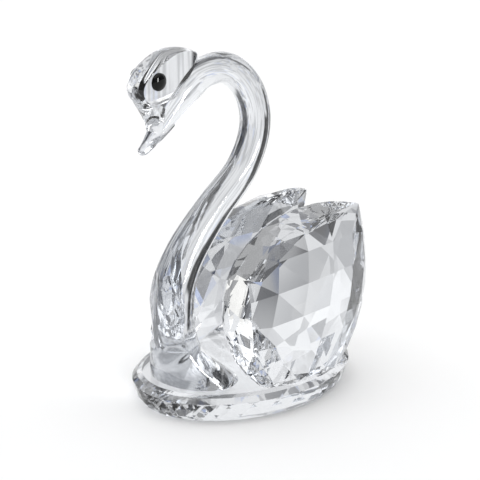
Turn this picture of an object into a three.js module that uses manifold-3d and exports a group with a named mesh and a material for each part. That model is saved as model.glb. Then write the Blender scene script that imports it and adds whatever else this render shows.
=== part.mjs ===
// A small swan of clear cut glass on an oval foot plate.
// Millimetres, +Z up. The swan looks along -Y and is the same on both sides of x = 0.
// The origin is the centre of the base's underside.

import * as THREE from 'three';
import { mergeVertices } from 'three/addons/utils/BufferGeometryUtils.js';
import { ConvexGeometry } from 'three/addons/geometries/ConvexGeometry.js';
import Module from 'manifold-3d';

const wasm = await Module();
wasm.setup();

// Base: an oval disc, cut in flat facets below its girdle and ground round above it
const BASE = {
  halfWidth: 21.8,
  halfLength: 28.5,
  facets: 28,
  crownSides: 112,
  chamferInset: 1.9,
  chamferHeight: 1.1,
  wallInset: 1.0,
  girdleLow: 4.2,
  girdleHigh: 4.6,
  crownInset: 1.1,
  crownHeight: 5.75,
  tableInset: 2.3,
  tableHeight: 6.25,
};

// Neck and lower bill: stations from the foot to the bill's tip, each a place on the mid-plane
// (y, z) with the half width across the swan and the half depth in the mid-plane
const NECK_STATIONS = [
  { y: -15.6, z: 6.25, width: 11.2, depth: 8.6 },
  { y: -17.4, z: 8.6, width: 10.0, depth: 7.6 },
  { y: -19.9, z: 11.8, width: 7.6, depth: 6.3 },
  { y: -21.8, z: 15.8, width: 5.9, depth: 5.4 },
  { y: -22.8, z: 22.0, width: 5.2, depth: 5.2 },
  { y: -21.9, z: 29.7, width: 4.95, depth: 5.0 },
  { y: -17.5, z: 37.3, width: 4.5, depth: 4.5 },
  { y: -9.0, z: 45.3, width: 4.0, depth: 4.0 },
  { y: 0.0, z: 52.5, width: 3.65, depth: 3.65 },
  { y: 4.4, z: 61.5, width: 3.55, depth: 3.55 },
  { y: 2.5, z: 70.3, width: 3.55, depth: 3.55 },
  { y: -4.2, z: 76.7, width: 3.55, depth: 3.55 },
  { y: -12.3, z: 77.3, width: 3.55, depth: 3.55 },
  { y: -19.8, z: 73.4, width: 3.4, depth: 3.6 },
  { y: -25.8, z: 67.6, width: 2.55, depth: 2.35 },
  { y: -29.2, z: 64.4, width: 1.85, depth: 1.05 },
  { y: -31.2, z: 63.0, width: 1.35, depth: 0.85 },
  { y: -31.8, z: 62.6, width: 0.6, depth: 0.4 },
];
const NECK_RINGS = 64;
const NECK_SIDES = 24;
// Sections lie flat in the foot and turn square to the neck between these heights
const SECTION_FLAT_BELOW = 17;
const SECTION_SQUARE_ABOVE = 31;

// Breast windows: two flat cuts on each side, one above the other, that meet in a keel line in
// front. Each is given by its turn from the swan's side to its front and by two keel places.
const WINDOWS = [
  { turn: 66, keel: [[-26.4, 32], [-27.9, 24]] },
  { turn: 49, keel: [[-28.7, 22], [-28.0, 16]] },
];
const WINDOW_SILL = 15.5;
const WINDOW_TOP = 42;

// Head: an egg lying on the end of the neck, lower in front, with gently domed cheeks
const HEAD = {
  y: -23.9,
  z: 79.1,
  tilt: 17.8,
  halfLength: 10.2,
  halfHeight: 5.45,
  halfWidth: 5.7,
  frontRoundness: 0.38,
  backRoundness: 0.95,
  poleGap: 0.04,
  rings: 20,
  sides: 28,
  cheek: 3.1,
  cheekRadius: 36,
  cheekMiddle: -27.5,
  cheekFacets: 160,
};

// Upper bill: sections square to its axis, from inside the head to the nostrils, with the
// reach to the front and to the back of the axis and the half width
const BILL = {
  tipY: -31.0,
  tipZ: 62.9,
  slope: 56.6,
  rings: 18,
  sides: 20,
  sections: [
    { along: -10.4, front: 7.6, back: 1.0, width: 2.6 },
    { along: -9.3, front: 9.2, back: 1.1, width: 3.0 },
    { along: -8.6, front: 7.6, back: 1.2, width: 3.05 },
    { along: -7.2, front: 3.7, back: 1.4, width: 2.85 },
    { along: -6.2, front: 1.7, back: 1.6, width: 2.5 },
    { along: -5.2, front: 0.9, back: 1.6, width: 2.1 },
    { along: -4.0, front: -0.3, back: 1.3, width: 1.4 },
  ],
};

// Eyes: low black domes seated on the cheeks
const EYE = {
  y: -29.2,
  z: 79.0,
  radius: 2.0,
  height: 1.25,
  rim: 0.35,
  sides: 20,
  rings: 4,
};

// Wings: pear-shaped lens crystals, point up and to the back, standing on the base. A wing is
// leaned outwards, toed in at the back and turned so that its point is up. Across its plane it
// has a dome of facets on a six-way lattice outside and rings of facets inside.
const WING = {
  tip: [8.3, 30.7, 38.75],
  lean: 22.2,
  toe: 6.2,
  droop: 35.3,
  length: 53.6,
  halfWidth: 18.1,
  widestAt: 34.0,
  girdle: 0.8,
  girdlePoints: 30,
  crownHeight: 9.0,
  crownLattice: 7.6,
  latticeRows: 4,
  latticeStart: 23.8,
  latticeFromTip: 6,
  latticeFromEnd: 5,
  latticeFromFlank: 4.5,
  bezelInset: 3.8,
  bezelPoints: 20,
  pavilionDepth: 7.0,
  pavilionSteps: [
    { inset: 3.2, depth: 2.6, points: 16, halfStep: 0 },
    { inset: 8.6, depth: 5.4, points: 10, halfStep: 0 },
    { inset: 12.5, depth: 7.0, points: 6, halfStep: 0.5 },
  ],
  neckGap: 0.3,
};

// Cutting bodies reach past the whole figure
const CUTTER_SIZE = 100;

const degrees = (angle) => THREE.MathUtils.degToRad(angle);

// Solids and meshes

function toSolid(geometry) {
  const bare = geometry.clone();
  bare.deleteAttribute('normal');
  bare.deleteAttribute('uv');
  const merged = mergeVertices(bare, 1e-4);
  const mesh = new wasm.Mesh({
    numProp: 3,
    vertProperties: new Float32Array(merged.attributes.position.array),
    triVerts: new Uint32Array(merged.index.array),
  });
  return new wasm.Manifold(mesh);
}

function toGeometry(solid) {
  const mesh = solid.getMesh();
  const geometry = new THREE.BufferGeometry();
  geometry.setAttribute('position', new THREE.BufferAttribute(mesh.vertProperties, mesh.numProp));
  geometry.setIndex(new THREE.BufferAttribute(mesh.triVerts, 1));
  return geometry;
}

// A closed body through rings that all have the same number of points, counter-clockwise
// seen from the last ring
function loft(rings) {
  const sides = rings[0].length;
  const points = rings.flat();
  const triangles = [];
  for (let ring = 0; ring < rings.length - 1; ring += 1) {
    for (let side = 0; side < sides; side += 1) {
      const a = ring * sides + side;
      const b = ring * sides + (side + 1) % sides;
      triangles.push(a, b, a + sides, b, b + sides, a + sides);
    }
  }
  const last = (rings.length - 1) * sides;
  for (let side = 1; side < sides - 1; side += 1) {
    triangles.push(0, side + 1, side);
    triangles.push(last, last + side, last + side + 1);
  }
  const geometry = new THREE.BufferGeometry().setFromPoints(points);
  geometry.setIndex(triangles);
  return toSolid(geometry);
}

// Everything below the base's table, as a cutting block
function belowTable() {
  const cutter = new THREE.BoxGeometry(CUTTER_SIZE, CUTTER_SIZE, CUTTER_SIZE);
  cutter.translate(0, 0, BASE.tableHeight - CUTTER_SIZE / 2);
  return toSolid(cutter);
}

// Base

function baseRing(inset, height, sides, halfSteps) {
  const ring = [];
  for (let step = 0; step < sides; step += 1) {
    const angle = ((step + halfSteps / 2) / sides) * 2 * Math.PI;
    const x = (BASE.halfWidth - inset) * Math.cos(angle);
    const y = (BASE.halfLength - inset) * Math.sin(angle);
    ring.push(new THREE.Vector3(x, y, height));
  }
  return ring;
}

function baseSolid() {
  return toSolid(new ConvexGeometry([
    ...baseRing(BASE.chamferInset, 0, BASE.facets, 0),
    ...baseRing(BASE.wallInset, BASE.chamferHeight, BASE.facets, 0),
    ...baseRing(0, BASE.girdleLow, BASE.facets, 1),
    ...baseRing(0, BASE.girdleHigh, BASE.crownSides, 0),
    ...baseRing(BASE.crownInset, BASE.crownHeight, BASE.crownSides, 0),
    ...baseRing(BASE.tableInset, BASE.tableHeight, BASE.crownSides, 0),
  ]));
}

// Neck piece

function smoothStep(value, low, high) {
  const share = THREE.MathUtils.clamp((value - low) / (high - low), 0, 1);
  return share * share * (3 - 2 * share);
}

function ovalRing(centre, across, up, width, depth, sides) {
  const ring = [];
  for (let side = 0; side < sides; side += 1) {
    const angle = (side / sides) * 2 * Math.PI;
    const point = centre.clone();
    point.addScaledVector(across, width * Math.cos(angle));
    point.addScaledVector(up, depth * Math.sin(angle));
    ring.push(point);
  }
  return ring;
}

function neckSolid() {
  const places = NECK_STATIONS.map((s) => new THREE.Vector3(0, s.y, s.z));
  const sizes = NECK_STATIONS.map((s) => new THREE.Vector3(s.width, s.depth, 0));
  const route = new THREE.CatmullRomCurve3(places, false, 'catmullrom', 0.5);
  const thickness = new THREE.CatmullRomCurve3(sizes, false, 'catmullrom', 0.5);
  const across = new THREE.Vector3(1, 0, 0);
  const rings = [];
  for (let ring = 0; ring <= NECK_RINGS; ring += 1) {
    const share = ring / NECK_RINGS;
    const centre = route.getPoint(share);
    const size = thickness.getPoint(share);
    const along = route.getTangent(share);
    const low = share < 0.5;
    const turn = low ? smoothStep(centre.z, SECTION_FLAT_BELOW, SECTION_SQUARE_ABOVE) : 1;
    const slope = Math.atan2(along.y, along.z) * turn;
    const up = new THREE.Vector3(0, Math.cos(slope), -Math.sin(slope));
    rings.push(ovalRing(centre, across, up, size.x, size.y, NECK_SIDES));
  }
  return loft(rings);
}

function billSolid() {
  const slope = degrees(BILL.slope);
  const along = new THREE.Vector3(0, -Math.cos(slope), -Math.sin(slope));
  const front = new THREE.Vector3(0, -Math.sin(slope), Math.cos(slope));
  const across = new THREE.Vector3(1, 0, 0);
  const tip = new THREE.Vector3(0, BILL.tipY, BILL.tipZ);
  const middles = BILL.sections.map((s) => new THREE.Vector3(s.along, (s.front - s.back) / 2, 0));
  const halves = BILL.sections.map((s) => new THREE.Vector3(s.width, (s.front + s.back) / 2, 0));
  const route = new THREE.CatmullRomCurve3(middles, false, 'catmullrom', 0.5);
  const size = new THREE.CatmullRomCurve3(halves, false, 'catmullrom', 0.5);
  const rings = [];
  for (let ring = 0; ring <= BILL.rings; ring += 1) {
    const middle = route.getPoint(ring / BILL.rings);
    const half = size.getPoint(ring / BILL.rings);
    const centre = tip.clone().addScaledVector(along, middle.x).addScaledVector(front, middle.y);
    rings.push(ovalRing(centre, across, front, half.x, half.y, BILL.sides));
  }
  return loft(rings);
}

function headSolid() {
  const tilt = degrees(HEAD.tilt);
  const along = new THREE.Vector3(0, -Math.cos(tilt), -Math.sin(tilt));
  const up = new THREE.Vector3(0, -Math.sin(tilt), Math.cos(tilt));
  const across = new THREE.Vector3(1, 0, 0);
  const middle = new THREE.Vector3(0, HEAD.y, HEAD.z);
  const rings = [];
  for (let ring = 0; ring <= HEAD.rings; ring += 1) {
    const angle = (HEAD.poleGap + (1 - 2 * HEAD.poleGap) * (ring / HEAD.rings)) * Math.PI;
    const place = -Math.cos(angle);
    const roundness = place < 0 ? HEAD.backRoundness : HEAD.frontRoundness;
    const share = (1 - place * place) ** roundness;
    const centre = middle.clone().addScaledVector(along, place * HEAD.halfLength);
    const width = HEAD.halfWidth * share;
    const depth = HEAD.halfHeight * share;
    rings.push(ovalRing(centre, across, up, width, depth, HEAD.sides));
  }
  return loft(rings).intersect(cheekDrum(1)).intersect(cheekDrum(-1));
}

// An upright drum whose side is the domed surface of one cheek
function cheekDrum(side) {
  const radius = HEAD.cheekRadius;
  const drum = new THREE.CylinderGeometry(radius, radius, CUTTER_SIZE, HEAD.cheekFacets);
  const upright = new THREE.Matrix4().makeRotationX(Math.PI / 2);
  const x = side * (HEAD.cheek - radius);
  const place = new THREE.Matrix4().makeTranslation(x, HEAD.cheekMiddle, HEAD.z);
  drum.applyMatrix4(place.multiply(upright));
  return toSolid(drum);
}

// The cutting block in front of one flat of a breast window, down to the sill
function windowBlock(side, window) {
  const size = CUTTER_SIZE / 2;
  const turn = degrees(window.turn);
  const outward = new THREE.Vector3(Math.cos(turn), -Math.sin(turn), 0);
  const level = new THREE.Vector3(Math.sin(turn), Math.cos(turn), 0);
  const [[highY, highZ], [lowY, lowZ]] = window.keel;
  const keelShift = (highY - lowY) / (highZ - lowZ);
  const points = [];
  for (const z of [WINDOW_SILL, WINDOW_TOP]) {
    const keelY = lowY + (z - lowZ) * keelShift;
    for (const [out, along] of [[0, -size], [0, size], [size, size], [size, -size]]) {
      const point = new THREE.Vector3(0, keelY, z);
      point.addScaledVector(outward, out).addScaledVector(level, along);
      point.x *= side;
      points.push(point);
    }
  }
  return toSolid(new ConvexGeometry(points));
}

// Wings

// Half width of the pear outline at a distance from its point
function pearHalfWidth(along) {
  const widest = WING.widestAt;
  const width = WING.halfWidth;
  const flank = (widest * widest + width * width) / (2 * width);
  if (along < widest) {
    return Math.sqrt(Math.max(flank ** 2 - (along - widest) ** 2, 0)) - (flank - width);
  }
  const share = (along - widest) / (WING.length - widest);
  return width * Math.sqrt(Math.max(1 - share * share, 0));
}

// Points round the pear outline, pulled in by an inset
function pearRing(inset, count, halfStep) {
  const ring = [];
  for (let step = 0; step < count; step += 1) {
    const turn = ((step + halfStep) / count) * 2 * Math.PI;
    const share = (1 - Math.cos(turn)) / 2;
    const along = share * WING.length;
    const side = Math.sin(turn) < 0 ? -1 : 1;
    const out = pearHalfWidth(along) * side;
    const centre = WING.widestAt;
    const reach = Math.hypot(along - centre, out);
    const keep = Math.max(reach - inset, 0) / reach;
    ring.push([centre + (along - centre) * keep, out * keep]);
  }
  return ring;
}

// The crown falls in parabolas from its middle to the outline, along and across the wing
function domeHeight(along, across) {
  const lengthwise = 1 - (2 * along / WING.length - 1) ** 2;
  const crosswise = 1 - (across / pearHalfWidth(along)) ** 2;
  return WING.girdle / 2 + WING.crownHeight * lengthwise * crosswise;
}

function wingFrame(side) {
  const lean = degrees(WING.lean);
  const toe = degrees(WING.toe);
  const droop = degrees(WING.droop);
  const level = Math.cos(lean);
  const out = new THREE.Vector3(level * Math.cos(toe), -level * Math.sin(toe), Math.sin(lean));
  const back = new THREE.Vector3(Math.sin(toe), Math.cos(toe), 0);
  const rise = new THREE.Vector3().crossVectors(out, back);
  const along = new THREE.Vector3();
  along.addScaledVector(back, -Math.cos(droop)).addScaledVector(rise, -Math.sin(droop));
  const across = new THREE.Vector3();
  across.addScaledVector(back, -Math.sin(droop)).addScaledVector(rise, Math.cos(droop));
  return (a, b, c) => {
    const point = new THREE.Vector3(...WING.tip);
    point.addScaledVector(along, a).addScaledVector(across, b).addScaledVector(out, c);
    point.x *= side;
    return point;
  };
}

function wingPoints() {
  const points = [];
  for (const [a, b] of pearRing(0, WING.girdlePoints, 0)) {
    points.push([a, b, WING.girdle / 2]);
    points.push([a, b, -WING.girdle / 2]);
  }
  for (const [a, b] of pearRing(WING.bezelInset, WING.bezelPoints, 0.5)) {
    points.push([a, b, domeHeight(a, b)]);
  }
  const step = WING.crownLattice;
  const rowStep = step * Math.cos(degrees(30));
  for (let row = -WING.latticeRows; row <= WING.latticeRows; row += 1) {
    for (let column = -WING.latticeRows; column <= WING.latticeRows; column += 1) {
      const a = WING.latticeStart + row * rowStep;
      const b = (column + (row % 2 === 0 ? 0 : 0.5)) * step;
      const fromEnds = a > WING.latticeFromTip && a < WING.length - WING.latticeFromEnd;
      const fromFlank = Math.abs(b) < pearHalfWidth(a) - WING.latticeFromFlank;
      if (fromEnds && fromFlank) points.push([a, b, domeHeight(a, b)]);
    }
  }
  for (const ring of WING.pavilionSteps) {
    for (const [a, b] of pearRing(ring.inset, ring.points, ring.halfStep)) {
      points.push([a, b, -ring.depth]);
    }
  }
  return points;
}

function wingSolid(side) {
  const place = wingFrame(side);
  const points = wingPoints().map(([a, b, c]) => place(a, b, c));
  return toSolid(new ConvexGeometry(points)).subtract(belowTable());
}

// The wing grown by the cement gap all round, which is cut out of the neck piece
function wingRoom(side) {
  const place = wingFrame(side);
  const middle = WING.widestAt;
  const thicker = 1 + WING.neckGap / WING.pavilionDepth;
  const grow = ([a, b, c]) => {
    const reach = Math.max(Math.hypot(a - middle, b), WING.neckGap);
    const wider = 1 + WING.neckGap / reach;
    return place(middle + (a - middle) * wider, b * wider, c * thicker);
  };
  return toSolid(new ConvexGeometry(wingPoints().map(grow)));
}

// Eyes

function eyeSolid(side) {
  const back = new THREE.Vector3(0, side, 0);
  const up = new THREE.Vector3(0, 0, 1);
  const ringAt = (radius, height) => {
    const centre = new THREE.Vector3(side * (HEAD.cheek + height), EYE.y, EYE.z);
    return ovalRing(centre, back, up, radius, radius, EYE.sides);
  };
  const rings = [ringAt(EYE.radius, 0)];
  for (let step = 0; step < EYE.rings; step += 1) {
    const angle = (step / EYE.rings) * (Math.PI / 2);
    const height = EYE.rim + (EYE.height - EYE.rim) * Math.sin(angle);
    rings.push(ringAt(EYE.radius * Math.cos(angle), height));
  }
  return loft(rings);
}

// The assembled figure

const clearGlass = { color: 0xe9eef2, roughness: 0.04, metalness: 0 };
const blackGlass = { color: 0x0b0b0d, roughness: 0.08, metalness: 0 };

function addPiece(group, name, solid, finish) {
  const mesh = new THREE.Mesh(toGeometry(solid), new THREE.MeshStandardMaterial(finish));
  mesh.name = name;
  group.add(mesh);
}

const swan = new THREE.Group();
let neckAndHead = neckSolid().add(headSolid()).add(billSolid());
for (const side of [1, -1]) {
  for (const window of WINDOWS) {
    neckAndHead = neckAndHead.subtract(windowBlock(side, window));
  }
  neckAndHead = neckAndHead.subtract(wingRoom(side));
}
neckAndHead = neckAndHead.subtract(belowTable());

addPiece(swan, 'base', baseSolid(), clearGlass);
addPiece(swan, 'neck_and_head', neckAndHead, clearGlass);
addPiece(swan, 'left_wing', wingSolid(1), clearGlass);
addPiece(swan, 'right_wing', wingSolid(-1), clearGlass);
addPiece(swan, 'left_eye', eyeSolid(1), blackGlass);
addPiece(swan, 'right_eye', eyeSolid(-1), blackGlass);

export default swan;
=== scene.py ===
"""Looks of the cut-glass swan: its smooth neck piece, faceted base, wings and bead eyes."""
import math

import bmesh
import bpy
import numpy as np
from mathutils import Matrix, Vector


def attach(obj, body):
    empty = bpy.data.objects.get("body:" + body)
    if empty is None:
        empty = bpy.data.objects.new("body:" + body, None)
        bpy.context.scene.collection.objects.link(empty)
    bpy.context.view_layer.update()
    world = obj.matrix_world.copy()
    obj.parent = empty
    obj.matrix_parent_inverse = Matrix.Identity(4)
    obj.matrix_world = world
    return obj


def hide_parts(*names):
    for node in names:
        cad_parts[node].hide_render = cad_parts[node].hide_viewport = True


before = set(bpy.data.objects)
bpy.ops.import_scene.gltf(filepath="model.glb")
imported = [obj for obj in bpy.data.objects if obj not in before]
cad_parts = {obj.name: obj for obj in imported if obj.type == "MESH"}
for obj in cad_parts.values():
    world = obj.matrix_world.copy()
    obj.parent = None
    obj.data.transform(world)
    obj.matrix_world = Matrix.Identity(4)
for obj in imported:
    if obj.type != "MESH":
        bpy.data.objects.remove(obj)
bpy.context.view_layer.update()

MM = 0.001
BODY = "root"
CRYSTAL_INDEX = 1.54
CRYSTAL_TINT = "#EAECEF"

# The oval base, cut in flat facets below its girdle and ground round above it: rings from the
# underside up to the table, each an inset from the rim, a height, its sides and a turn in half sides
BASE_HALF_WIDTH = 21.8
BASE_HALF_LENGTH = 28.5
BASE_FACETS = 28
BASE_CROWN_SIDES = 112
BASE_RINGS = {
    "Underside": (1.9, 0.0, BASE_FACETS, 0),
    "Chamfer": (1.0, 1.1, BASE_FACETS, 0),
    "Girdle Low": (0.0, 4.2, BASE_FACETS, 1),
    "Girdle High": (0.0, 4.6, BASE_CROWN_SIDES, 0),
    "Crown": (1.1, 5.75, BASE_CROWN_SIDES, 0),
    "Table": (2.3, 6.2, BASE_CROWN_SIDES, 0),
}
# The pieces stand on the table with a hair of air below them, as glass faces laid on glass
TABLE_HEIGHT = 6.25
FLOOR_DEPTH = 0.1
FLOOR_REACH = 3000

# Neck and lower bill from the foot to the bill's tip: y, z, half width, half depth
NECK_STATIONS = [
    (-15.6, 6.25, 11.2, 8.6),
    (-17.4, 8.6, 10.0, 7.6),
    (-19.9, 11.8, 7.6, 6.3),
    (-21.8, 15.8, 5.9, 5.4),
    (-22.8, 22.0, 5.2, 5.2),
    (-21.9, 29.7, 4.95, 5.0),
    (-17.5, 37.3, 4.5, 4.5),
    (-9.0, 45.3, 4.0, 4.0),
    (0.0, 52.5, 3.65, 3.65),
    (4.4, 61.5, 3.55, 3.55),
    (2.5, 70.3, 3.55, 3.55),
    (-4.2, 76.7, 3.55, 3.55),
    (-12.3, 77.3, 3.55, 3.55),
    (-19.8, 73.4, 3.4, 3.6),
    (-25.8, 67.6, 2.55, 2.35),
    (-29.2, 64.4, 1.85, 1.05),
    (-31.2, 63.0, 1.35, 0.85),
    (-31.8, 62.6, 0.6, 0.4),
]
NECK_RINGS = 300
NECK_SIDES = 96
NECK_SOFTNESS = 5
# The sections lie flat below the first height and stand square to the neck above the second
SECTION_FLAT_BELOW = 17
SECTION_SQUARE_ABOVE = 31

# Breast windows: turn from the swan's side to its front, and two places on the keel (y, z)
WINDOWS = [
    (66, (-26.4, 32), (-27.9, 24)),
    (49, (-28.7, 22), (-28.0, 16)),
]
WINDOW_SILL = 15.5
WINDOW_TOP = 42
WINDOW_BLOCK = 50

HEAD_MIDDLE = (0, -23.9, 79.1)
HEAD_TILT = 17.8
HEAD_HALF_LENGTH = 10.2
HEAD_HALF_HEIGHT = 5.45
HEAD_HALF_WIDTH = 5.7
HEAD_FRONT_ROUNDNESS = 0.38
HEAD_BACK_ROUNDNESS = 0.95
HEAD_POLE = 0.02
HEAD_RINGS = 72
HEAD_SIDES = 96
CHEEK = 3.1
CHEEK_RADIUS = 36
CHEEK_MIDDLE = -27.5
CHEEK_REACH = 20
CHEEK_FACETS = 900

# Upper bill: place along its axis from the tip, reach to the front and back, half width
BILL_TIP = (0, -31.0, 62.9)
BILL_SLOPE = 56.6
BILL_SECTIONS = [
    (-10.4, 7.6, 1.0, 2.6),
    (-9.3, 9.2, 1.1, 3.0),
    (-8.6, 7.6, 1.2, 3.05),
    (-7.2, 3.7, 1.4, 2.85),
    (-6.2, 1.7, 1.6, 2.5),
    (-5.2, 0.9, 1.6, 2.1),
    (-4.0, -0.3, 1.3, 1.4),
]
BILL_RINGS = 60
BILL_SIDES = 80

EYE_PLACE = (-29.2, 79.0)
EYE_RADIUS = 2.0
EYE_HEIGHT = 1.25
EYE_RIM = 0.35
EYE_STEPS = 17
EYE_SIDES = 64

WINGS = ("left_wing", "right_wing")
WING_ROOM = 0.35
WELD = 0.01
# A block that cuts the neck piece off at the table: half its width, and its depth
CUT_REACH = 60
CUT_DEPTH = 50

# Sharp edges: the turn in degrees above which shading isn't smooth
NECK_SHARP = 22
EYE_SHARP = 40

# Studio. A place is an azimuth, an elevation, half a width, half a height and a soft edge, in
# degrees, and azimuth is counted as for the camera. The band of cloth has soft grey folds and a
# rare blue tinge, which are fainter in its calm window.
STUDIO_LEVEL = 0.95
ROOM_LIGHT = 0.42
CLOTH_BAND = (224, -24, 180.5, 26, 6)
FOLDS_ACROSS = 18.0
FOLD_RANGE = (0.45, 0.64)
FOLD_GREY = "#8C8D91"
TINGE_RANGE = (0.66, 0.74)
TINGE_BLUE = "#C3CFEE"
CALM_WINDOW = (236, -20, 31, 18, 5)
CALM_SHARE = 0.56
CALM_LEVEL = 1.2
# Softboxes and grey or black flags over the room, from the bottom layer up: place, colour, strength
PATCHES = [
    (224, -48, 180.5, 44, 3, "#FFFFFF", 0.85),
    (224, -90, 180.5, 26, 4, "#B8B9BB", 1.0),
    (224, 22, 80, 34, 8, "#FFFFFF", 1.1),
    (224, 90, 180.5, 42, 6, "#FFFFFF", 1.75),
    (318, 52, 12, 14, 3, "#F5F9FF", 2.5),
    (118, 42, 9, 18, 3, "#FFFDF8", 1.2),
    (222, -46, 26, 3, 2, "#3A3B3D", 1.0),
    (190, -25, 11, 30, 3, "#6A6B6E", 1.0),
    (259, 4, 6, 21, 2, "#1A1B1D", 1.0),
    (270, -8, 6, 28, 2, "#1A1B1D", 1.0),
    (298, 0, 12, 28, 2, "#2A2B2D", 1.0),
    (328, -10, 10, 36, 2, "#3A3B3E", 1.0),
    (335, 15, 24, 26, 4, "#2E2F32", 1.0),
    (146, -10, 10, 34, 2, "#8A8B8E", 1.0),
    (116, -10, 10, 34, 2, "#4A4B4E", 1.0),
]

# Small softbox, seen only as a highlight: azimuth and elevation, distance and size in metres, watts
EYE_LIGHT = (99, 10)
EYE_LIGHT_AWAY = 0.8
EYE_LIGHT_SIZE = (0.14, 0.4)
EYE_LIGHT_POWER = 5

# Inputs and output of a Mix node set to colour
MIX_BELOW, MIX_ABOVE, MIX_RESULT = 6, 7, 2

# Camera: the photograph's viewing angle, with lengths in metres
CAMERA_AZIMUTH = 44
CAMERA_ELEVATION = 18.5
CAMERA_DISTANCE = 0.6
CAMERA_AIM = (0, -0.0005, 0.0353)
CAMERA_LENS = 195.75


def linear(code, strength=1.0):
    """An sRGB hex colour as linear red, green, blue, all times a strength, and full alpha."""
    shares = [int(code[i:i + 2], 16) / 255 for i in (1, 3, 5)]
    shares = [s / 12.92 if s <= 0.04045 else ((s + 0.055) / 1.055) ** 2.4 for s in shares]
    return [share * strength for share in shares] + [1]


def fill(tree, socket, value):
    """Links an input to a socket, or sets it to a plain value."""
    if isinstance(value, bpy.types.NodeSocket):
        tree.links.new(value, socket)
    else:
        socket.default_value = value


def add_node(tree, kind, settings=None, inputs=None):
    """Adds one node with its settings; an input given as a socket is linked to it."""
    node = tree.nodes.new(kind)
    for name, value in (settings or {}).items():
        setattr(node, name, value)
    for name, value in (inputs or {}).items():
        fill(tree, node.inputs[name], value)
    return node


def new_material(name):
    material = bpy.data.materials.new(name)
    material.use_nodes = True
    material.node_tree.nodes.clear()
    return material, material.node_tree


# Materials

def cut_crystal():
    """Lead-free crystal, ground and polished flat: water clear, with crisp bright facets."""
    material, tree = new_material("cut crystal")
    shader = add_node(tree, "ShaderNodeBsdfPrincipled", None, {
        "Base Color": linear(CRYSTAL_TINT),
        "Roughness": 0.0,
        "IOR": CRYSTAL_INDEX,
        "Transmission Weight": 1.0,
    })
    add_node(tree, "ShaderNodeOutputMaterial", None, {"Surface": shader.outputs["BSDF"]})
    return material


def fire_polished_crystal():
    """The same crystal, drawn and fire polished: its skin has long, faint waves."""
    material, tree = new_material("fire-polished crystal")
    place = add_node(tree, "ShaderNodeTexCoord")
    waves = add_node(tree, "ShaderNodeTexNoise", None, {
        "Vector": place.outputs["Object"],
        "Scale": 90.0,
        "Detail": 1.0,
    })
    skin = add_node(tree, "ShaderNodeBump", None, {
        "Strength": 0.12,
        "Distance": 0.0004,
        "Height": waves.outputs["Fac"],
    })
    shader = add_node(tree, "ShaderNodeBsdfPrincipled", None, {
        "Base Color": linear(CRYSTAL_TINT),
        "Roughness": 0.0,
        "IOR": CRYSTAL_INDEX,
        "Transmission Weight": 1.0,
        "Normal": skin.outputs["Normal"],
    })
    add_node(tree, "ShaderNodeOutputMaterial", None, {"Surface": shader.outputs["BSDF"]})
    return material


def black_bead_glass():
    """Opaque black glass, moulded and fire polished: deep black, with one sharp highlight."""
    material, tree = new_material("black bead glass")
    shader = add_node(tree, "ShaderNodeBsdfPrincipled", None, {
        "Base Color": linear("#08080A"),
        "Roughness": 0.04,
        "IOR": 1.52,
        "Specular IOR Level": 0.2,
    })
    add_node(tree, "ShaderNodeOutputMaterial", None, {"Surface": shader.outputs["BSDF"]})
    return material


def studio_paper():
    """White background paper, matt."""
    material, tree = new_material("white studio paper")
    shader = add_node(tree, "ShaderNodeBsdfPrincipled", None, {
        "Base Color": linear("#F7F7F7"),
        "Roughness": 0.9,
        "Specular IOR Level": 0.0,
    })
    add_node(tree, "ShaderNodeOutputMaterial", None, {"Surface": shader.outputs["BSDF"]})
    return material


# Meshes

def new_piece(name, points, faces):
    """A mesh object from points in millimetres."""
    mesh = bpy.data.meshes.new(name)
    mesh.from_pydata([[c * MM for c in p] for p in points], [], faces)
    piece = bpy.data.objects.new(name, mesh)
    bpy.context.scene.collection.objects.link(piece)
    return piece


def loft(name, rings):
    """A closed body through rings of points, counter-clockwise seen from the last ring."""
    sides = len(rings[0])
    points = np.concatenate(rings)
    faces = []
    for ring in range(len(rings) - 1):
        for side in range(sides):
            a = ring * sides + side
            b = ring * sides + (side + 1) % sides
            faces.append((a, b, b + sides, a + sides))
    faces.append(tuple(range(sides))[::-1])
    last = (len(rings) - 1) * sides
    faces.append(tuple(range(last, last + sides)))
    return new_piece(name, points.tolist(), faces)


def combine(piece, tool, operation):
    """Adds, cuts or meets a piece with a tool body, which is used up."""
    modifier = piece.modifiers.new("combine", "BOOLEAN")
    modifier.operation = operation
    modifier.solver = "MANIFOLD"
    modifier.object = tool
    bpy.context.view_layer.update()
    seen = piece.evaluated_get(bpy.context.evaluated_depsgraph_get())
    result = bpy.data.meshes.new_from_object(seen)
    piece.modifiers.clear()
    piece.data = result
    bpy.data.objects.remove(tool)


def shade(piece, angle):
    """Smooth shading, with an edge kept sharp where two faces turn by more than the angle."""
    for polygon in piece.data.polygons:
        polygon.use_smooth = True
    piece.data.set_sharp_from_angle(angle=math.radians(angle))


def set_material(piece, material):
    piece.data.materials.clear()
    piece.data.materials.append(material)


def dress(piece, material, node):
    """Gives a finished piece its material and its place in the frame."""
    set_material(piece, material)
    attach(piece, BODY)
    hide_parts(node)


def curve_through(stations, count):
    """A smooth run of rows through the stations, with the corners between them softened."""
    stations = np.array(stations, float)
    ends = [2 * stations[0] - stations[1], 2 * stations[-1] - stations[-2]]
    knots = np.vstack([ends[0], stations, ends[1]])
    last = len(stations) - 1
    rows = []
    for share in np.linspace(0, last, count):
        first = min(int(share), last - 1)
        t = share - first
        before, start, stop, after = knots[first:first + 4]
        leave, arrive = (stop - before) / 2, (after - start) / 2
        bend = -3 * start + 3 * stop - 2 * leave - arrive
        twist = 2 * start - 2 * stop + leave + arrive
        rows.append(start + leave * t + bend * t ** 2 + twist * t ** 3)
    return np.array(rows)


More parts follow.
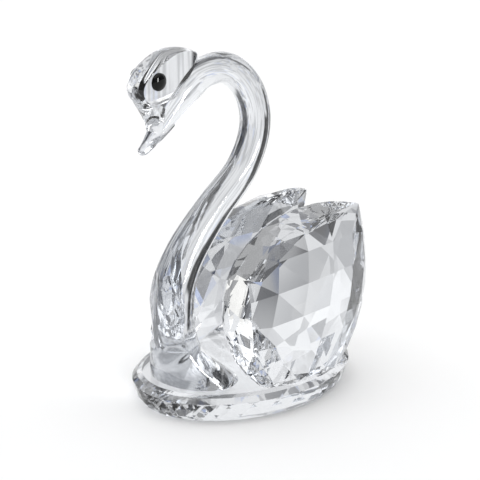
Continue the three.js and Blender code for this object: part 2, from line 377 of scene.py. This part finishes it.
def soften(rows, reach):
    """Averages each row with its neighbours, keeping both ends where they are."""
    before = 2 * rows[0] - rows[reach:0:-1]
    after = 2 * rows[-1] - rows[-2:-reach - 2:-1]
    padded = np.vstack([before, rows, after])
    weights = np.exp(-0.5 * np.linspace(-2, 2, 2 * reach + 1) ** 2)
    weights /= weights.sum()
    return np.array([weights @ padded[i:i + 2 * reach + 1] for i in range(len(rows))])


def oval(centre, up, width, depth, sides):
    """A ring of points with one half axis along x and the other along a given way."""
    angles = np.linspace(0, 2 * math.pi, sides, endpoint=False)
    ring = np.tile(np.array(centre, float), (sides, 1))
    ring[:, 0] += width * np.cos(angles)
    return ring + np.outer(depth * np.sin(angles), up)


# Neck piece

def neck_body():
    """Neck, foot and lower bill: ovals through the stations, for the lower half with a turn that
    goes from flat on the table to square on the neck."""
    rows = soften(curve_through(NECK_STATIONS, NECK_RINGS), NECK_SOFTNESS)
    slopes = np.gradient(rows[:, :2], axis=0)
    rings = []
    for index, (y, z, width, depth) in enumerate(rows):
        turn = 1.0
        if index < NECK_RINGS / 2:
            share = (z - SECTION_FLAT_BELOW) / (SECTION_SQUARE_ABOVE - SECTION_FLAT_BELOW)
            share = min(max(share, 0), 1)
            turn = share * share * (3 - 2 * share)
        slope = math.atan2(slopes[index][0], slopes[index][1]) * turn
        up = (0, math.cos(slope), -math.sin(slope))
        rings.append(oval((0, y, z), up, width, depth, NECK_SIDES))
    return loft("swan_neck", rings)


def head_egg():
    """The head before its cheeks are cut: an egg, blunt behind and full in front."""
    tilt = math.radians(HEAD_TILT)
    along = np.array((0, -math.cos(tilt), -math.sin(tilt)))
    up = np.array((0, -math.sin(tilt), math.cos(tilt)))
    rings = []
    for angle in np.linspace(HEAD_POLE, 1 - HEAD_POLE, HEAD_RINGS) * math.pi:
        place = -math.cos(angle)
        roundness = HEAD_BACK_ROUNDNESS if place < 0 else HEAD_FRONT_ROUNDNESS
        share = (1 - place * place) ** roundness
        centre = np.array(HEAD_MIDDLE) + along * place * HEAD_HALF_LENGTH
        halves = (HEAD_HALF_WIDTH * share, HEAD_HALF_HEIGHT * share)
        rings.append(oval(centre, up, *halves, HEAD_SIDES))
    return loft("head_egg", rings)


def cheek_drum(side):
    """An upright drum whose side is the domed surface of one cheek."""
    x = side * (CHEEK - CHEEK_RADIUS)
    rings = []
    for z in (HEAD_MIDDLE[2] - CHEEK_REACH, HEAD_MIDDLE[2] + CHEEK_REACH):
        middle = (x, CHEEK_MIDDLE, z)
        rings.append(oval(middle, (0, 1, 0), CHEEK_RADIUS, CHEEK_RADIUS, CHEEK_FACETS))
    return loft("cheek_drum", rings)


def upper_bill():
    """The upper bill: ovals square to its axis, which runs down from the head to the tip."""
    slope = math.radians(BILL_SLOPE)
    along = np.array((0, -math.cos(slope), -math.sin(slope)))
    front = np.array((0, -math.sin(slope), math.cos(slope)))
    rings = []
    for place, ahead, behind, width in curve_through(BILL_SECTIONS, BILL_RINGS):
        centre = np.array(BILL_TIP) + along * place + front * (ahead - behind) / 2
        rings.append(oval(centre, front, width, (ahead + behind) / 2, BILL_SIDES))
    return loft("upper_bill", rings)


def window_block(side, turn, high, low):
    """The body in front of one flat of a breast window, down to the sill."""
    turn = math.radians(turn)
    outward = np.array((math.cos(turn), -math.sin(turn), 0))
    level = np.array((math.sin(turn), math.cos(turn), 0))
    lean = (high[0] - low[0]) / (high[1] - low[1])
    size = WINDOW_BLOCK
    corners = [(0, -size), (size, -size), (size, size), (0, size)]
    rings = []
    for z in (WINDOW_SILL, WINDOW_TOP):
        keel = np.array((0, low[0] + (z - low[1]) * lean, z))
        ring = [keel + outward * out + level * along for out, along in corners]
        ring = [p * (side, 1, 1) for p in ring]
        rings.append(np.array(ring if side > 0 else ring[::-1]))
    return loft("window_block", rings)


def wing_room(node):
    """A wing grown a little all round, cut out of the neck piece for the cement."""
    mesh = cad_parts[node].data.copy()
    work = bmesh.new()
    work.from_mesh(mesh)
    bmesh.ops.remove_doubles(work, verts=work.verts, dist=WELD * MM)
    hull = bmesh.ops.convex_hull(work, input=work.verts)
    spare = hull["geom_interior"] + hull["geom_unused"]
    loose = [element for element in spare if isinstance(element, bmesh.types.BMVert)]
    bmesh.ops.delete(work, geom=loose, context="VERTS")
    work.normal_update()
    for vert in work.verts:
        vert.co += vert.normal * WING_ROOM * MM
    work.to_mesh(mesh)
    work.free()
    room = bpy.data.objects.new("wing_room", mesh)
    bpy.context.scene.collection.objects.link(room)
    return room


def below_table():
    """Everything below the base's top, to cut the neck piece's foot flat."""
    corners = [(-1, -1, 0), (1, -1, 0), (1, 1, 0), (-1, 1, 0)]
    ring = np.array(corners, float) * CUT_REACH
    return loft("below_table", [ring + (0, 0, -CUT_DEPTH), ring + (0, 0, TABLE_HEIGHT)])


def swan_neck(material):
    """Head, bill, neck, breast and foot, as the one piece of glass that they are."""
    neck = neck_body()
    head = head_egg()
    for side in (1, -1):
        combine(head, cheek_drum(side), "INTERSECT")
    combine(neck, head, "UNION")
    combine(neck, upper_bill(), "UNION")
    for side in (1, -1):
        for turn, high, low in WINDOWS:
            combine(neck, window_block(side, turn, high, low), "DIFFERENCE")
    for node in WINGS:
        combine(neck, wing_room(node), "DIFFERENCE")
    combine(neck, below_table(), "DIFFERENCE")
    shade(neck, NECK_SHARP)
    dress(neck, material, "neck_and_head")
    # Clear glass lets the light through to the table
    neck.visible_shadow = False


# Base

def ring_stack_tree(material):
    """Geometry Nodes: oval rings of facet corners, closed to a solid by their convex hull."""
    tree = bpy.data.node_groups.new("faceted oval base", "GeometryNodeTree")
    interface = tree.interface
    interface.new_socket("Geometry", in_out="OUTPUT", socket_type="NodeSocketGeometry")
    sizes = {"Half Width": BASE_HALF_WIDTH * MM, "Half Length": BASE_HALF_LENGTH * MM}
    counts = {}
    for ring, (inset, height, sides, _) in BASE_RINGS.items():
        sizes[ring + " Inset"] = inset * MM
        sizes[ring + " Height"] = height * MM
        counts[ring + " Sides"] = sides
    sockets = {}
    for kind, values in (("NodeSocketFloat", sizes), ("NodeSocketInt", counts)):
        for name in values:
            sockets[name] = interface.new_socket(name, in_out="INPUT", socket_type=kind)
    given = add_node(tree, "NodeGroupInput").outputs
    joined = add_node(tree, "GeometryNodeJoinGeometry")
    for ring, (_, _, _, half_steps) in BASE_RINGS.items():
        sides = given[ring + " Sides"]
        circle = add_node(tree, "GeometryNodeMeshCircle", None, {"Vertices": sides, "Radius": 1.0})
        angle = add_node(tree, "ShaderNodeMath", {"operation": "DIVIDE"}, {
            0: half_steps * math.pi,
            1: sides,
        })
        turn = add_node(tree, "ShaderNodeCombineXYZ", None, {"Z": angle.outputs[0]})
        turned = add_node(tree, "GeometryNodeTransform", None, {
            "Geometry": circle.outputs[0],
            "Rotation": turn.outputs[0],
        })
        reach = {}
        for axis, side in (("X", "Half Width"), ("Y", "Half Length")):
            less = add_node(tree, "ShaderNodeMath", {"operation": "SUBTRACT"}, {
                0: given[side],
                1: given[ring + " Inset"],
            })
            reach[axis] = less.outputs[0]
        scale = add_node(tree, "ShaderNodeCombineXYZ", None, reach)
        lift = add_node(tree, "ShaderNodeCombineXYZ", None, {"Z": given[ring + " Height"]})
        placed = add_node(tree, "GeometryNodeTransform", None, {
            "Geometry": turned.outputs[0],
            "Scale": scale.outputs[0],
            "Translation": lift.outputs[0],
        })
        tree.links.new(placed.outputs[0], joined.inputs[0])
    hull = add_node(tree, "GeometryNodeConvexHull", None, {"Geometry": joined.outputs[0]})
    real = add_node(tree, "GeometryNodeRealizeInstances", None, {"Geometry": hull.outputs[0]})
    faced = add_node(tree, "GeometryNodeSetMaterial", None, {
        "Geometry": real.outputs[0],
        "Material": material,
    })
    add_node(tree, "NodeGroupOutput", None, {"Geometry": faced.outputs[0]})
    return tree, sockets, {**sizes, **counts}


def oval_base(material):
    """The base, made by its node tree and then turned to a plain mesh."""
    tree, sockets, sizes = ring_stack_tree(material)
    maker = new_piece("base_maker", [(0, 0, 0)], [])
    modifier = maker.modifiers.new("base", "NODES")
    modifier.node_group = tree
    for name, value in sizes.items():
        modifier[sockets[name].identifier] = value
    bpy.context.view_layer.update()
    seen = maker.evaluated_get(bpy.context.evaluated_depsgraph_get())
    mesh = bpy.data.meshes.new_from_object(seen)
    bpy.data.objects.remove(maker)
    base = bpy.data.objects.new("oval_base", mesh)
    bpy.context.scene.collection.objects.link(base)
    dress(base, material, "base")
    base.visible_shadow = False


# Eyes

def bead_eye(name, side, material, node):
    """A domed bead on one cheek. It isn't seen through the head, where its back would show."""
    rings = []
    profile = [(EYE_RADIUS, 0.0)]
    for step in range(EYE_STEPS):
        angle = step / EYE_STEPS * math.pi / 2
        height = EYE_RIM + (EYE_HEIGHT - EYE_RIM) * math.sin(angle)
        profile.append((EYE_RADIUS * math.cos(angle), height))
    angles = np.linspace(0, 2 * math.pi, EYE_SIDES, endpoint=False) * side
    for radius, height in profile:
        ring = np.zeros((EYE_SIDES, 3))
        ring[:, 0] = side * (CHEEK + height)
        ring[:, 1] = EYE_PLACE[0] + radius * np.cos(angles)
        ring[:, 2] = EYE_PLACE[1] + radius * np.sin(angles)
        rings.append(ring)
    eye = loft(name, rings)
    shade(eye, EYE_SHARP)
    dress(eye, material, node)
    eye.visible_transmission = False


# Studio

def studio_floor():
    """White paper under the swan. The glass shows the studio's light in its place."""
    corners = [(-1, -1), (1, -1), (1, 1), (-1, 1)]
    points = [(x * FLOOR_REACH, y * FLOOR_REACH, -FLOOR_DEPTH) for x, y in corners]
    floor = new_piece("studio_floor", points, [(0, 1, 2, 3)])
    floor.data.materials.append(studio_paper())
    floor.visible_transmission = False


def window(tree, axes, azimuth, elevation, half_width, half_height, edge):
    """A soft-edged mask, 1 for light that comes from round one direction."""
    turned = add_node(tree, "ShaderNodeVectorRotate", {"rotation_type": "Z_AXIS"}, {
        "Vector": axes,
        "Angle": -math.radians(azimuth),
    })
    parts = add_node(tree, "ShaderNodeSeparateXYZ", None, {"Vector": turned.outputs[0]})
    ahead = add_node(tree, "ShaderNodeMath", {"operation": "MULTIPLY"}, {
        0: parts.outputs["Y"],
        1: -1.0,
    })
    sideways = add_node(tree, "ShaderNodeMath", {"operation": "ARCTAN2"}, {
        0: parts.outputs["X"],
        1: ahead.outputs[0],
    })
    height = add_node(tree, "ShaderNodeMath", {"operation": "ARCSINE"}, {0: parts.outputs["Z"]})
    above = add_node(tree, "ShaderNodeMath", {"operation": "SUBTRACT"}, {
        0: height.outputs[0],
        1: math.radians(elevation),
    })
    masks = []
    for away, half in ((sideways, half_width), (above, half_height)):
        distance = add_node(tree, "ShaderNodeMath", {"operation": "ABSOLUTE"}, {0: away.outputs[0]})
        masks.append(add_node(tree, "ShaderNodeMapRange", {"interpolation_type": "SMOOTHSTEP"}, {
            "Value": distance.outputs[0],
            "From Min": math.radians(half - edge),
            "From Max": math.radians(half + edge),
            "To Min": 1.0,
            "To Max": 0.0,
        }))
    both = add_node(tree, "ShaderNodeMath", {"operation": "MULTIPLY"}, {
        0: masks[0].outputs[0],
        1: masks[1].outputs[0],
    })
    return both.outputs[0]


def covered(tree, below, above, mask):
    """One colour laid over another by a mask, not held under 1."""
    mix = add_node(tree, "ShaderNodeMix", {"data_type": "RGBA"}, {0: mask})
    for socket, value in ((mix.inputs[MIX_BELOW], below), (mix.inputs[MIX_ABOVE], above)):
        fill(tree, socket, value)
    return mix.outputs[MIX_RESULT]


def tent_cloth(tree, axes):
    """Cloth round the table, white with soft grey folds and here and there a blue tinge."""
    folds = add_node(tree, "ShaderNodeTexNoise", None, {
        "Vector": axes,
        "Scale": FOLDS_ACROSS,
        "Detail": 0.0,
    })
    shares = add_node(tree, "ShaderNodeSeparateColor", None, {"Color": folds.outputs["Color"]})
    cloth = linear("#FFFFFF")
    marks = ((0, FOLD_RANGE, FOLD_GREY), (1, TINGE_RANGE, TINGE_BLUE))
    for channel, (start, stop), colour in marks:
        mask = add_node(tree, "ShaderNodeMapRange", {"interpolation_type": "SMOOTHSTEP"}, {
            "Value": shares.outputs[channel],
            "From Min": start,
            "From Max": stop,
        })
        cloth = covered(tree, cloth, linear(colour), mask.outputs[0])
    calm = add_node(tree, "ShaderNodeMath", {"operation": "MULTIPLY"}, {
        0: window(tree, axes, *CALM_WINDOW),
        1: CALM_SHARE,
    })
    cloth = covered(tree, cloth, linear("#FFFFFF", CALM_LEVEL), calm.outputs[0])
    return covered(tree, linear("#FFFFFF"), cloth, window(tree, axes, *CLOTH_BAND))


def studio_light():
    """Light of the whole studio by direction: room, softboxes and flags, and the cloth."""
    world = bpy.data.worlds.new("studio")
    bpy.context.scene.world = world
    world.use_nodes = True
    tree = world.node_tree
    tree.nodes.clear()
    place = add_node(tree, "ShaderNodeTexCoord")
    direction = add_node(tree, "ShaderNodeVectorMath", {"operation": "NORMALIZE"}, {
        0: place.outputs["Generated"],
    })
    axes = direction.outputs[0]
    light = linear("#FFFFFF", ROOM_LIGHT)
    for *patch, colour, strength in PATCHES:
        light = covered(tree, light, linear(colour, strength), window(tree, axes, *patch))
    lit = add_node(tree, "ShaderNodeVectorMath", {"operation": "MULTIPLY"}, {
        0: light,
        1: tent_cloth(tree, axes),
    })
    shine = add_node(tree, "ShaderNodeBackground", None, {
        "Color": lit.outputs[0],
        "Strength": STUDIO_LEVEL,
    })
    add_node(tree, "ShaderNodeOutputWorld", None, {"Surface": shine.outputs[0]})


def stand_off(name, data, aim, azimuth, elevation, away):
    """A camera or lamp at a distance from a point, turned to look at it."""
    azimuth, elevation = math.radians(azimuth), math.radians(elevation)
    level = math.cos(elevation)
    way = Vector((math.sin(azimuth) * level, -math.cos(azimuth) * level, math.sin(elevation)))
    thing = bpy.data.objects.new(name, data)
    bpy.context.scene.collection.objects.link(thing)
    turn = way.to_track_quat("Z", "Y").to_matrix().to_4x4()
    thing.matrix_world = Matrix.Translation(Vector(aim) + way * away) @ turn
    return thing


def eye_light():
    """A softbox that shows as a highlight alone: it neither lights the table nor is seen in glass."""
    data = bpy.data.lights.new("eye_light", "AREA")
    data.shape = "RECTANGLE"
    data.size, data.size_y = EYE_LIGHT_SIZE
    data.energy = EYE_LIGHT_POWER
    head = [0, EYE_PLACE[0] * MM, EYE_PLACE[1] * MM]
    lamp = stand_off("eye_light", data, head, *EYE_LIGHT, EYE_LIGHT_AWAY)
    lamp.visible_diffuse = False
    lamp.visible_transmission = False


def camera():
    data = bpy.data.cameras.new("camera")
    data.lens = CAMERA_LENS
    data.clip_start = 0.01
    place = (CAMERA_AZIMUTH, CAMERA_ELEVATION, CAMERA_DISTANCE)
    bpy.context.scene.camera = stand_off("camera", data, CAMERA_AIM, *place)


def render_settings():
    """Plain colours, and bounces enough for nearly all the light to leave the glass."""
    scene = bpy.context.scene
    scene.view_settings.view_transform = "Standard"
    scene.cycles.max_bounces = 32
    scene.cycles.transmission_bounces = 32
    scene.cycles.glossy_bounces = 16
    scene.cycles.diffuse_bounces = 4
    scene.cycles.sample_clamp_indirect = 6


cut = cut_crystal()
swan_neck(fire_polished_crystal())
oval_base(cut)
for node in WINGS:
    set_material(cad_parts[node], cut)
bead = black_bead_glass()
bead_eye("left_bead_eye", 1, bead, "left_eye")
bead_eye("right_bead_eye", -1, bead, "right_eye")
studio_floor()
studio_light()
eye_light()
camera()
render_settings()
